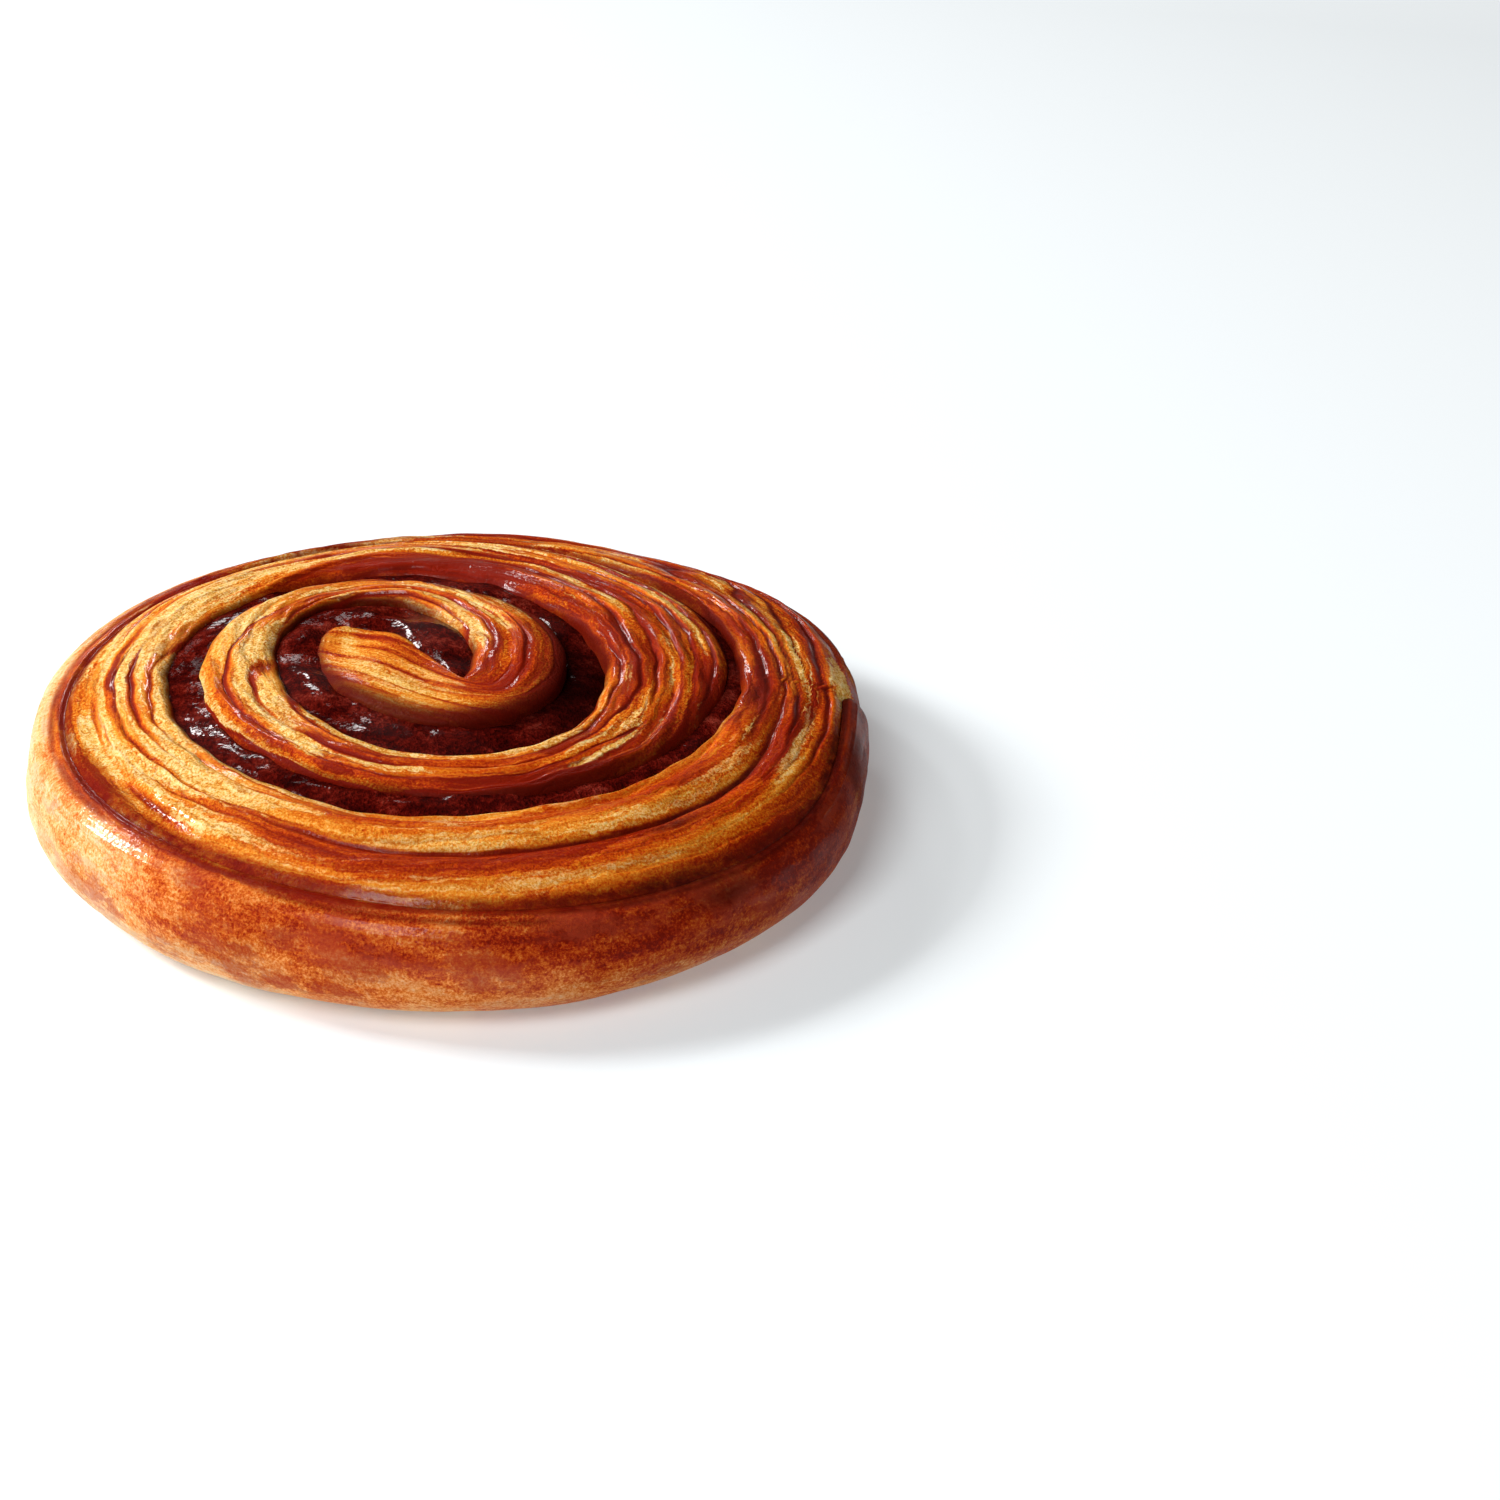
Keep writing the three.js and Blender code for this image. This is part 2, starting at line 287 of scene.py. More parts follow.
# Two full rolls lie side by side along the front of the last coil, with a deep groove between them.
groove_turns = (2.58, 2.66, 2.74, 2.82, 2.90, 3.0)
groove_shares = (0.40, 0.46, 0.50, 0.51, 0.49, 0.42)
inner_roll_round = 2.9
outer_roll_round = 3.6
roll_height = 1.15
roll_sink = 0.8
in_groove = between(turn_here, 2.63, 2.74, 2.9, 3.0)
past_groove = (shares - np.interp(turn_here, groove_turns, groove_shares)) * width
inner_roll = np.clip(1 - ((past_groove + inner_roll_round) / inner_roll_round) ** 2, 0, 1) ** 0.5
outer_roll = np.clip(1 - ((past_groove - outer_roll_round) / outer_roll_round) ** 2, 0, 1) ** 0.5
rolls = roll_height * np.maximum(inner_roll, outer_roll) - roll_sink + 0.55 * relief
relief = relief * (1 - in_groove) + rolls * in_groove


# Shoulders: the lap rounds over into the filling on both sides, and only dips where it meets the next lap.
def round_over(distance, radius, depth):
    return depth * (1 - np.sqrt(1 - (1 - np.minimum(distance / radius, 1)) ** 2))


def dip(distance, radius, depth):
    return depth * (1 - smooth(0, radius, distance))


seam_round = 0.9
seam_depth = 0.28
back = hump(turn_here, 2.27, 0.16)
inner_edge = round_over(from_inner, np.minimum(2.0 + 3.0 * back, width / 2.2), 1.0 + 1.0 * back)
outer_edge = round_over(from_outer, np.minimum(2.0, width / 2.2), 1.0)
inner_fall = inner_edge * (1 - inner_seam) + dip(from_inner, seam_round, seam_depth) * inner_seam
outer_fall = outer_edge * (1 - outer_seam) + dip(from_outer, seam_round, seam_depth) * outer_seam
tip_fall = round_over(along[:, None], 4.0, 0.9)
crown = 0.4 - 0.4 * np.abs(2 * shares - 1) ** 3 - 0.4 * (shares - 0.5)
top_waves = 0.25 * np.sin(3 * angles + 0.9) + 0.15 * np.sin(5 * angles)
lap_drop = 0.25 * smooth(3.1, 3.5, turns)
top = inner[:, None, :] + (outer - inner)[:, None, :] * shares[:, :, None]
settle = smooth(0, 1.4, np.minimum(from_inner, from_outer))
top_z = dome_height(top) + (lap_rise(turns) + top_waves - lap_drop)[:, None]
top_z = top_z + room * (relief * settle + crown) - inner_fall - outer_fall - tip_fall

# Faces: down to the tray between the laps, and bulged and blistered on the outside of the last lap.
wall_round = 54
widest_height = 8
foot_inset = 5.2
edge_z = top_z[:, -1:]
skin_z = top_z * (1 - fall)
wall_run = angles[:, None] * wall_round + 0 * skin_z
foot_wave = 0.8 * swell(43, wall_run / 10, 0 * skin_z)
below = (foot_inset + foot_wave) * np.clip(1 - skin_z / widest_height, 0, 1) ** 2.6
above = rim_round * np.clip((skin_z - widest_height) / (edge_z - widest_height), 0, 1) ** 2.2
blister = 0.7 * swell(41, wall_run / 9, skin_z / 5) + 0.35 * swell(42, wall_run / 3, skin_z / 2.2)
blister = blister * smooth(0, 0.15, fall) * (1 - 0.6 * fall)
bulge = wall_radius(turns)[:, None] - below - above + blister
face = outer[:, None, :] + (foot_of(outer) - outer)[:, None, :] * fall[:, :, None]
outer_face = np.where(is_wall[:, :, None], outward[:, None, :] * bulge[:, :, None], face)
skin = np.where((fall > 0)[:, :, None], outer_face, top)
climb = np.linspace(0, 1, inner_points + 1)[None, :-1]
inside = foot_of(inner)[:, None, :] + (inner - foot_of(inner))[:, None, :] * climb[:, :, None]
inside_z = top_z[:, :1] * climb
under_share = np.linspace(0, 1, under_points + 1)[None, 1:, None]
under = skin[:, -1:, :] * (1 - under_share) + inside[:, :1, :] * under_share
plan = np.concatenate([inside, skin, under], 1)
height = np.concatenate([inside_z, skin_z, np.zeros((strip_steps + 1, under_points))], 1)
dough_points = np.concatenate([plan - roll_middle, height[:, :, None]], 2) * millimetre

bpy.ops.mesh.primitive_grid_add(x_subdivisions=ring_points - 1, y_subdivisions=strip_steps, size=0.1)
dough = bpy.context.object
dough.name = "baked_dough"
dough.data.vertices.foreach_set("co", dough_points.ravel())


def spread(inside_value, skin_values):
    inside_part = np.broadcast_to(inside_value, (strip_steps + 1, inner_points))
    under_part = np.broadcast_to(skin_values[:, -1:], (strip_steps + 1, under_points))
    return np.concatenate([inside_part, skin_values, under_part], 1)


def paint_values(piece, name, values):
    layer_data = piece.data.attributes.new(name, "FLOAT", "POINT")
    layer_data.data.foreach_set("value", np.ascontiguousarray(values, dtype=np.float32).ravel())


# Browning: the tops are glazed orange to red brown, the torn flanks are pale and fluffy.
# A high tone is pale, a low one dark. The tone by turn is paler to the left and darker to the right,
# partly real browning and partly painted light and shade of the sides towards and away from the lamps.
brown_and_light_turns = (0.42, 0.7, 0.85, 1.0, 1.25, 1.38, 1.5, 1.6, 1.75, 2.0, 2.25, 2.45, 2.6, 2.75, 3.0)
brown_and_light_tones = (0.2, 0.18, 0.02, -0.06, -0.1, -0.02, 0.04, 0.02, -0.08, -0.18, -0.06, 0.22, 0.16, 0.0, -0.14)
fluff = smooth(0.45, 0.75, drift(14, layer_run / 30, layer)) * smooth(0.2, 0.6, flank)
tone = 0.44 + np.interp(turn_here, brown_and_light_turns, brown_and_light_tones) + 0.28 * (flank - 0.5) + 0.15 * fluff
tone = tone + 0.34 * swell(13, layer_run / 36, layer) + 0.4 * np.clip(relief, -0.5, 0.5)
tone = tone - 0.45 * back * (1 - smooth(2.0, 5.5, from_inner))
tone = tone - 0.34 * (1 - smooth(0, 0.28, near_line)) * line_strength

# Pale places: bare crumb at the left front, gold on the tongue with a lap behind it that is darkened as
# painted shade where it falls away to the right, a patch and an edge on the second lap, the flap of the
# fold, and stripes along the left side.
bare_crumb = hump(turn_here, 2.63, 0.06) * smooth(0.12, 0.3, shares)
tone = tone + 0.35 * bare_crumb
fluff = np.maximum(fluff, 0.9 * bare_crumb)
tongue = 1 - smooth(0.85, 1.05, turn_here)
tongue_gold = 1 - smooth(0.72, 0.86, turn_here)
tone = tone + 0.3 * tongue_gold * hump(from_outer, 7.0, 1.8)
fluff = np.maximum(fluff, 0.6 * tongue_gold * smooth(2.0, 4.5, from_outer))
# Painted shade: the lap at the right of the tongue darkens outwards, where it faces away from the lamps.
tone = tone - 0.5 * hump(turn_here, 0.98, 0.14) * smooth(0.2, 0.65, shares)
patch_place = np.interp(turn_here, (1.58, 1.62, 1.65, 1.68), (3.0, 3.5, 4.8, 6.6))
pale_patch = between(turn_here, 1.56, 1.6, 1.67, 1.7) * hump(from_inner, patch_place, 1.4)
tone = tone + 0.6 * pale_patch
fluff = np.maximum(fluff, 0.8 * pale_patch)
pale_edge = hump(turn_here, 1.13, 0.05) * (1 - smooth(1.0, 3.4, from_inner))
tone = tone + 0.45 * pale_edge
tone = tone + 0.3 * in_fold * smooth(0.9, 1.6, past_fold) * smooth(1.0, 2.6, from_outer)
stripes = smooth(0.3, 0.7, drift(28, slanted / 24, from_inner / 1.2)) - 0.5
tone = tone + 0.5 * hump(turn_here, 2.5, 0.12) * stripes

# Front: each lap has a pale lip towards the middle and darkens outwards, and the two full rolls
# are gold along their lower flanks and red in the groove between them.
front_edge = hump(of_turn, 0.77, 0.2) * smooth(1.0, 1.2, turn_here)
front_lip = front_edge * (1 - inner_seam)
lip = front_lip * (1 - smooth(1.4, 4.4, from_inner))
tone = tone + 0.3 * lip - 0.28 * front_lip * smooth(0.5, 0.8, shares)
inner_flank = between(past_groove, -3.6, -2.2, -0.7, -0.3)
outer_flank = smooth(2.0, 4.0, past_groove)
roll_fluff = np.maximum(inner_flank, 0.4 * outer_flank) * (0.35 + 0.65 * drift(17, run / 18, shares * 3))
groove_red = np.exp(-np.maximum(past_groove, 0)) * (past_groove > -0.3)
roll_tone = 0.38 + 0.28 * roll_fluff + 0.3 * swell(24, run / 20, shares * 7) - 0.32 * groove_red
roll_tone = roll_tone - 0.05 * (past_groove > 0) - 0.12 * hump(past_groove, 3.0, 1.2)
gold_place = np.interp(turn_here, (2.68, 2.75, 2.82, 2.9), (1.6, 1.7, 2.8, 4.0))
gold_band = hump(from_outer, gold_place, 1.0) * (past_groove > 0)
right_front = smooth(2.76, 2.84, turn_here)
roll_tone = roll_tone + 0.32 * gold_band - 0.22 * right_front * np.exp(-from_outer / 1.5)
roll_tone = roll_tone + 0.2 * (1 - smooth(0.5, 2.0, from_inner))
fluff = fluff * (1 - in_groove) + roll_fluff * in_groove
tone = tone * (1 - in_groove) + roll_tone * in_groove

# Stain and painted shade: the filling has soaked into the edges beside it, most round the tongue and
# along the front; round the tongue the dark also reaches up the steep flank as painted shade.
stain_and_shade_turns = (0.5, 0.7, 0.9, 1.1, 1.2, 1.35, 1.78, 1.87, 2.0, 2.1)
stain_and_shade_reaches = (2.6, 5.0, 4.6, 3.6, 2.6, 1.4, 1.4, 3.6, 3.6, 1.4)
stain_and_shade_reach = np.interp(turn_here, stain_and_shade_turns, stain_and_shade_reaches)
outer_stain_and_shade = (1 - smooth(2.9, 2.98, turn_here)) * (1 - smooth(0.15, 1, from_outer / stain_and_shade_reach))
stained_and_shaded_sides = np.maximum(hump(of_turn, 0.83, 0.2), 1 - smooth(1.15, 1.32, turn_here))
outer_stain_and_shade = outer_stain_and_shade * (1 - outer_seam) * stained_and_shaded_sides
inner_stain = (1 - smooth(0.1, 1.0, from_inner)) * (1 - inner_seam) * (1 - 0.85 * front_edge)
stain_and_shade = np.maximum(inner_stain * (1 - 0.7 * back) * (1 - 0.8 * pale_edge), outer_stain_and_shade)

# Caramel: it gathers between the layers, in the groove and in the seams, broadest at the front, in
# a dark band on the rim at the back left and in two dabs at the right front.
on_wall = smooth(3.0, 3.08, turn_here) * (1 - smooth(1.5, 4.5, from_outer))
on_wall = np.maximum(on_wall, is_wall * smooth(0.0, 0.2, fall))
rim_way = from_inner + fall * edge_z
pale = np.maximum(bare_crumb, np.maximum(pale_patch, pale_edge))
layer_lines = line * (1 - 0.6 * in_groove) * smooth(0.9, 1.2, turn_here) * (1 - 0.8 * lip)
layer_lines = layer_lines * (1 - 0.7 * pale)
caramel = np.maximum(layer_lines, hump(past_groove, 0, 0.4) * in_groove) * room
rim_line = inner_seam * hump(from_inner, 1.7, 0.4) * smooth(0.4, 0.7, drift(26, run / 12, 0 * run))
caramel = np.maximum(caramel * (1 - on_wall), 0.8 * rim_line * (1 - fall))
ribbon = 1.3 + 1.1 * hump(of_turn, 0.67, 0.07) + 0.9 * hump(of_turn, 0.85, 0.05)
outer_line = outer_seam * (1 - smooth(2.95, 3.0, turn_here)) * (1 - smooth(0.3, 1.0, from_outer / ribbon))
inner_line = inner_seam * (1 - smooth(0.4, 0.8, from_inner / ribbon))
seam_strength = 0.85 + 0.15 * smooth(0.3, 0.6, drift(25, run / 9, 0 * run))
caramel = np.maximum(caramel, np.maximum(outer_line, inner_line) * seam_strength)
dark_rim = between(turn_here, 3.26, 3.32, 3.41, 3.47) * (1 - smooth(2.4, 4.4, rim_way))
dark_rim = dark_rim * (0.5 + 0.5 * smooth(0.3, 0.6, drift(29, run / 6, rim_way)))
at_dabs = hump(of_turn, 0.859, 0.014)
lap_dab = at_dabs * in_groove * hump(past_groove, 1.2, 0.9)
wall_dab = at_dabs * inner_seam * hump(rim_way, 2.4, 1.1)
dabs = np.maximum(lap_dab, wall_dab)
caramel = np.maximum(caramel, np.maximum(dark_rim, 0.9 * dabs))

# Rim: red along the left, with thick gloss on the left front, on the fold and on the dabs.
rim_red = between(turn_here, 3.3, 3.42, 3.68, 3.76) * (1 - smooth(1.2, 2.8, rim_way))
tone = tone * (1 - rim_red) + rim_red * (0.3 + 0.4 * swell(27, run / 5, rim_way * 1.3))
on_wall = on_wall * (1 - 0.9 * rim_red)
rim_gloss = hump(turn_here, 3.605, 0.06) * hump(rim_way, 3.4, 1.6)
fold_gloss = in_fold * hump(past_fold, 0.3, 0.5)
thick_gloss = np.maximum(np.maximum(rim_gloss, fold_gloss), dabs)
paint_values(dough, "gloss", spread(0.0, thick_gloss))
paint_values(dough, "tone", spread(0.3, tone))
paint_values(dough, "fluff", spread(0.0, fluff * (1 - fall)))
paint_values(dough, "caramel", spread(0.0, caramel))
paint_values(dough, "calm", spread(1.0, np.maximum(in_groove, tongue) + 0 * shares))
paint_values(dough, "on_wall", spread(0.0, on_wall))
paint_values(dough, "stain_and_shade", spread(1.0 - 0.5 * back, stain_and_shade))
strip = np.zeros((strip_steps + 1, ring_points, 3), dtype=np.float32)
strip[:, :, 0] = along[:, None]
strip[:, :, 1] = spread(-8 * (1 - climb), rim_way)
strip_data = dough.data.attributes.new("strip", "FLOAT_VECTOR", "POINT")
strip_data.data.foreach_set("vector", strip.ravel())


def close_tube():
    bpy.ops.object.mode_set(mode="EDIT")
    bpy.ops.mesh.select_all(action="SELECT")
    bpy.ops.mesh.remove_doubles(threshold=1e-7)
    bpy.ops.mesh.select_all(action="DESELECT")
    bpy.ops.mesh.select_non_manifold()
    bpy.ops.mesh.fill_holes(sides=0)
    bpy.ops.mesh.select_all(action="SELECT")
    bpy.ops.mesh.normals_make_consistent(inside=False)
    bpy.ops.object.mode_set(mode="OBJECT")
    bpy.ops.object.shade_smooth()


close_tube()


def colour(code):
    parts = [int(code[i : i + 2], 16) / 255 for i in (1, 3, 5)]
    return [p / 12.92 if p <= 0.04045 else ((p + 0.055) / 1.055) ** 2.4 for p in parts] + [1]


class Nodes:
    def __init__(self, tree):
        self.tree = tree

    def add(self, kind, settings, inputs):
        node = self.tree.nodes.new("ShaderNode" + kind)
        for key, value in settings.items():
            setattr(node, key, value)
        for key, value in inputs.items():
            self.give(node.inputs[key], value)
        return node

    def give(self, socket, value):
        if isinstance(value, bpy.types.NodeSocket):
            self.tree.links.new(value, socket)
        else:
            socket.default_value = value

    def math(self, operation, a, b):
        return self.add("Math", {"operation": operation}, {0: a, 1: b}).outputs[0]

    def times(self, a, b):
        return self.math("MULTIPLY", a, b)

    def larger(self, a, b):
        return self.math("MAXIMUM", a, b)

    def sway(self, value, *parts):
        for part, size in parts:
            swing = self.times(self.math("SUBTRACT", part, 0.5), size)
            value = self.math("ADD", value, swing)
        return value

    def mix(self, share, a, b):
        node = self.add("Mix", {"data_type": "RGBA"}, {0: share, 6: a, 7: b})
        return node.outputs[2]

    def ramp(self, value, *stops):
        node = self.add("ValToRGB", {}, {"Fac": value})
        band = node.color_ramp
        while len(band.elements) < len(stops):
            band.elements.new(0.5)
        for element, (position, code) in zip(band.elements, stops):
            element.position = position
            element.color = colour(code)
        return node.outputs[0]

    def attribute(self, name, output="Fac"):
        return self.add("Attribute", {"attribute_name": name}, {}).outputs[output]

    def object_place(self):
        return self.add("TexCoord", {}, {}).outputs["Object"]

    def axes(self, vector):
        return self.add("SeparateXYZ", {}, {"Vector": vector}).outputs

    def torn(self, vector, raggedness, sizes):
        inputs = {0: raggedness, 1: sizes, 2: vector}
        return self.add("VectorMath", {"operation": "MULTIPLY_ADD"}, inputs).outputs[0]

    def stretched(self, vector, scale):
        return self.add("Mapping", {}, {"Vector": vector, "Scale": scale}).outputs[0]

    def noise(self, vector, scale, detail, roughness):
        inputs = {"Vector": vector, "Scale": scale, "Detail": detail, "Roughness": roughness}
        return self.add("TexNoise", {}, inputs).outputs["Fac"]

    def span(self, value, low, high, to_low=0.0, to_high=1.0):
        return self.add("MapRange", {}, {0: value, 1: low, 2: high, 3: to_low, 4: to_high}).outputs[0]

    def scaled(self, share, at_none, at_full):
        return self.span(share, 0.0, 1.0, at_none, at_full)

    def bump(self, height, strength, distance):
        inputs = {"Strength": strength, "Distance": distance, "Height": height}
        return self.add("Bump", {}, inputs).outputs[0]


class Finish(Nodes):
    def __init__(self, name):
        self.material = bpy.data.materials.new(name)
        self.material.use_nodes = True
        super().__init__(self.material.node_tree)
        self.surface = self.tree.nodes["Principled BSDF"]

    def take(self, values):
        for name, value in values.items():
            self.give(self.surface.inputs[name], value)


# Fine grain: sugar crystals, crumb and scorched specks, in a fine and a coarser size.
grain_group = bpy.data.node_groups.new("fine grain", "ShaderNodeTree")
grain_group.interface.new_socket("Place", in_out="INPUT", socket_type="NodeSocketVector")
grain_group.interface.new_socket("Scale", in_out="INPUT", socket_type="NodeSocketFloat")
grain_group.interface.new_socket("Speckle", in_out="OUTPUT", socket_type="NodeSocketFloat")
grain_group.interface.new_socket("Fuzz", in_out="OUTPUT", socket_type="NodeSocketFloat")
grain = Nodes(grain_group)
grain_in = grain_group.nodes.new("NodeGroupInput").outputs
grain_out = grain_group.nodes.new("NodeGroupOutput").inputs
fine_noise = grain.noise(grain_in["Place"], grain_in["Scale"], 2.0, 0.7)
coarse_noise = grain.noise(grain_in["Place"], grain.times(grain_in["Scale"], 0.4), 4.0, 0.75)
grain.give(grain_out["Speckle"], grain.span(fine_noise, 0.34, 0.66))
grain.give(grain_out["Fuzz"], grain.span(coarse_noise, 0.34, 0.66))

crust = Finish("baked dough")
place = crust.object_place()
strip_place = crust.attribute("strip", "Vector")
ragged = crust.add("TexNoise", {}, {"Vector": place, "Scale": 700.0, "Detail": 3.0}).outputs["Color"]
streak_place = crust.torn(strip_place, ragged, (5.0, 1.0, 0))


# Glaze: streaks of orange to red brown that run along the strip, flaked off in long pale patches.
def along_strip(scale, detail, roughness, shift):
    moved = crust.add("VectorMath", {"operation": "ADD"}, {0: streak_place, 1: (shift, shift, 0)})
    return crust.noise(crust.stretched(moved.outputs[0], scale), 1.0, detail, roughness)


streaks = along_strip((0.05, 0.42, 1), 5.0, 0.62, 0.0)
fibres = along_strip((0.12, 1.5, 1), 5.0, 0.7, 300.0)
darks = along_strip((0.05, 1.0, 1), 5.0, 0.65, 700.0)
strokes = crust.span(along_strip((2.2, 0.5, 1), 3.0, 0.6, 1300.0), 0.3, 0.7)
patches = along_strip((0.09, 0.22, 1), 3.0, 0.55, 500.0)
threads = crust.span(along_strip((0.22, 3.0, 1), 3.0, 0.6, 1100.0), 0.3, 0.7)
crumbs = crust.span(along_strip((0.4, 0.95, 1), 4.0, 0.65, 900.0), 0.3, 0.7)
crust_grain = crust.add("Group", {"node_tree": grain_group}, {"Place": place, "Scale": 3300.0}).outputs
speckle = crust_grain["Speckle"]
fuzz = crust_grain["Fuzz"]
flake_place = crust.stretched(crust.torn(strip_place, ragged, (9.0, 1.6, 0)), (0.075, 0.5, 1))
flake_cells = {"Vector": flake_place, "Scale": 1.0}
flake = crust.axes(crust.add("TexVoronoi", {}, flake_cells).outputs["Color"])
flake_edges = crust.add("TexVoronoi", {"feature": "DISTANCE_TO_EDGE"}, flake_cells).outputs["Distance"]
flake_rim = crust.span(flake_edges, 0.0, 0.09, 1.0, 0.0)
mottle = crust.noise(place, 480.0, 4.0, 0.6)
tone_share = crust.attribute("tone")
fluff_share = crust.attribute("fluff")
calm = crust.attribute("calm")
wall_share = crust.attribute("on_wall")
stain_and_shade_share = crust.attribute("stain_and_shade")
base_value = crust.sway(
    0.46,
    (tone_share, 0.9),
    (fibres, 0.6),
    (streaks, 0.4),
    (flake["X"], 0.3),
    (fuzz, 0.18),
    (threads, 0.22),
    (strokes, crust.scaled(fluff_share, 0.0, 0.34)),
    (speckle, crust.scaled(fluff_share, 0.24, 0.45)),
)
base_colour = crust.ramp(
    base_value,
    (0.05, "#8E1C02"),
    (0.29, "#BE4204"),
    (0.49, "#D66C10"),
    (0.69, "#E8942C"),
    (0.95, "#F6C470"),
)
pale_value = crust.math("ADD", streaks, 0.035)
pale_value = crust.sway(pale_value, (tone_share, 0.45), (fibres, 0.2), (fuzz, 0.06), (flake["Y"], 0.16))
pale_share = crust.times(crust.span(pale_value, 0.58, 0.64), crust.scaled(calm, 1.0, 0.45))
crumb_value = crust.sway(0.5, (speckle, 0.6), (fuzz, 0.4), (fibres, 0.6), (crumbs, 0.5), (threads, 0.3))
crumb_colour = crust.ramp(crumb_value, (0.15, "#C46E1C"), (0.45, "#E8AC4C"), (0.8, "#FADA9A"))
top_colour = crust.mix(pale_share, base_colour, crumb_colour)
dark_value = crust.sway(darks, (tone_share, -0.35), (fibres, 0.25), (flake["Z"], 0.1), (fuzz, 0.05))
dark_share = crust.times(crust.span(dark_value, 0.55, 0.66, 0.0, 0.85), crust.scaled(calm, 1.0, 0.35))
top_colour = crust.mix(dark_share, top_colour, colour("#7E1503"))
# Soaked filling darkens the stained edges, and round the tongue the same dark is painted shade.
soaked_and_shaded = crust.times(stain_and_shade_share, crust.span(fibres, 0.3, 0.6, 0.93, 1.0))
top_colour = crust.mix(soaked_and_shaded, top_colour, colour("#560D03"))

# Skin of the wall: mottled brown, darker under the rim, paler at the foot, paler at the left partly
# from real baking and partly as painted light, and darker at the right as painted shade.
blotches = crust.noise(crust.stretched(strip_place, (0.045, 0.14, 1)), 1.0, 3.0, 0.55)
smears = crust.noise(crust.stretched(strip_place, (0.13, 0.5, 1)), 1.0, 6.0, 0.7)
wall_axes = crust.axes(place)
wall_value = crust.sway(
    0.5,
    (blotches, 0.9),
    (smears, 0.7),
    (crust.span(smears, 0.42, 0.57), 0.12),
    (mottle, 0.4),
    (speckle, 0.34),
    (fuzz, 0.28),
)
# The first entry pales the left, part real baking and part painted light; the second is painted shade on
# the right.
for axis, start, end, at_start, at_end in (
    ("X", -0.052, -0.01, 0.52, 0.0),
    ("X", 0.005, 0.045, 0.0, -0.28),
    ("Z", 0.0, 0.006, 0.34, 0.0),
    ("Z", 0.006, 0.012, 0.0, -0.18),
):
    wall_value = crust.math("ADD", wall_value, crust.span(wall_axes[axis], start, end, at_start, at_end))
wall_colour = crust.ramp(
    wall_value,
    (0.0, "#761404"),
    (0.16, "#9A2406"),
    (0.35, "#BE4A12"),
    (0.52, "#D67026"),
    (0.75, "#EEA45C"),
    (1.0, "#F2CA98"),
)
wall_colour = crust.mix(crust.span(smears, 0.52, 0.58, 0.0, 0.25), wall_colour, colour("#A8380E"))
scorch_place = crust.stretched(crust.torn(strip_place, ragged, (5.0, 2.2, 0)), (0.085, 0.2, 1))
scorch = crust.span(crust.noise(scorch_place, 1.0, 6.0, 0.7), 0.49, 0.58, 0.0, 0.7)
scorch = crust.times(scorch, crust.span(wall_axes["X"], -0.05, -0.036, 0.0, 1.0))
scorch = crust.times(scorch, crust.span(wall_axes["Z"], 0.001, 0.004, 0.25, 1.0))
wall_colour = crust.mix(scorch, wall_colour, colour("#A63A20"))
# Painted shade: the wall darkens to deep brown towards the right, away from the lamps.
wall_colour = crust.mix(crust.span(wall_axes["X"], 0.005, 0.045, 0.0, 0.35), wall_colour, colour("#4A0C03"))
skin_colour = crust.mix(wall_share, top_colour, wall_colour)

# Caramel lines: in the seams and in cracks between the flakes, darker towards the right as painted shade.
crack = crust.times(flake_rim, crust.span(patches, 0.45, 0.6, 0.0, 0.5))
crack = crust.times(crack, crust.scaled(calm, 1.0, 0.3))
crack = crust.times(crack, crust.scaled(wall_share, 1.0, 0.0))
line_share = crust.larger(crust.attribute("caramel"), crack)
line_share = crust.times(line_share, crust.span(mottle, 0.3, 0.6, 0.6, 1.0))
# Painted shade: the caramel darkens towards the right, away from the lamps.
shaded_right = crust.span(wall_axes["X"], 0.0, 0.03, 0.0, 0.8)
caramel_colour = crust.mix(shaded_right, colour("#741003"), colour("#300602"))
skin_colour = crust.mix(line_share, skin_colour, caramel_colour)

# Coat: the glaze lies in patches, thin on the wall and none on bare crumb or on the stained edges
# and painted shade round the tongue. Its own fine ripples break up the highlights.
bare = crust.span(crust.larger(fluff_share, pale_share), 0.0, 0.6, 1.0, 0.05)
coat = crust.times(crust.span(patches, 0.42, 0.62, 0.04, 0.6), bare)
coat = crust.times(coat, crust.scaled(wall_share, 1.0, 0.4))
coat = crust.times(coat, crust.span(stain_and_shade_share, 0.0, 0.6, 1.0, 0.0))
gloss_specks = crust.span(crust.sway(fuzz, (speckle, 0.9)), 0.42, 0.62)
coat = crust.larger(coat, crust.times(crust.attribute("gloss"), gloss_specks))
ripples = crust.noise(place, 1700.0, 1.0, 0.5)
fibre_height = crust.times(pale_share, -0.25)
fibre_height = crust.sway(fibre_height, (fibres, 0.8), (flake["X"], 0.3), (flake_rim, -0.3))
fibre_height = crust.times(fibre_height, crust.scaled(wall_share, 1.0, 0.0))
fibre_height = crust.sway(
    fibre_height,
    (mottle, 0.5),
    (crumbs, crust.scaled(pale_share, 0.15, 0.6)),
    (strokes, crust.scaled(fluff_share, 0.0, 0.4)),
    (speckle, crust.scaled(fluff_share, 0.12, 0.5)),
)
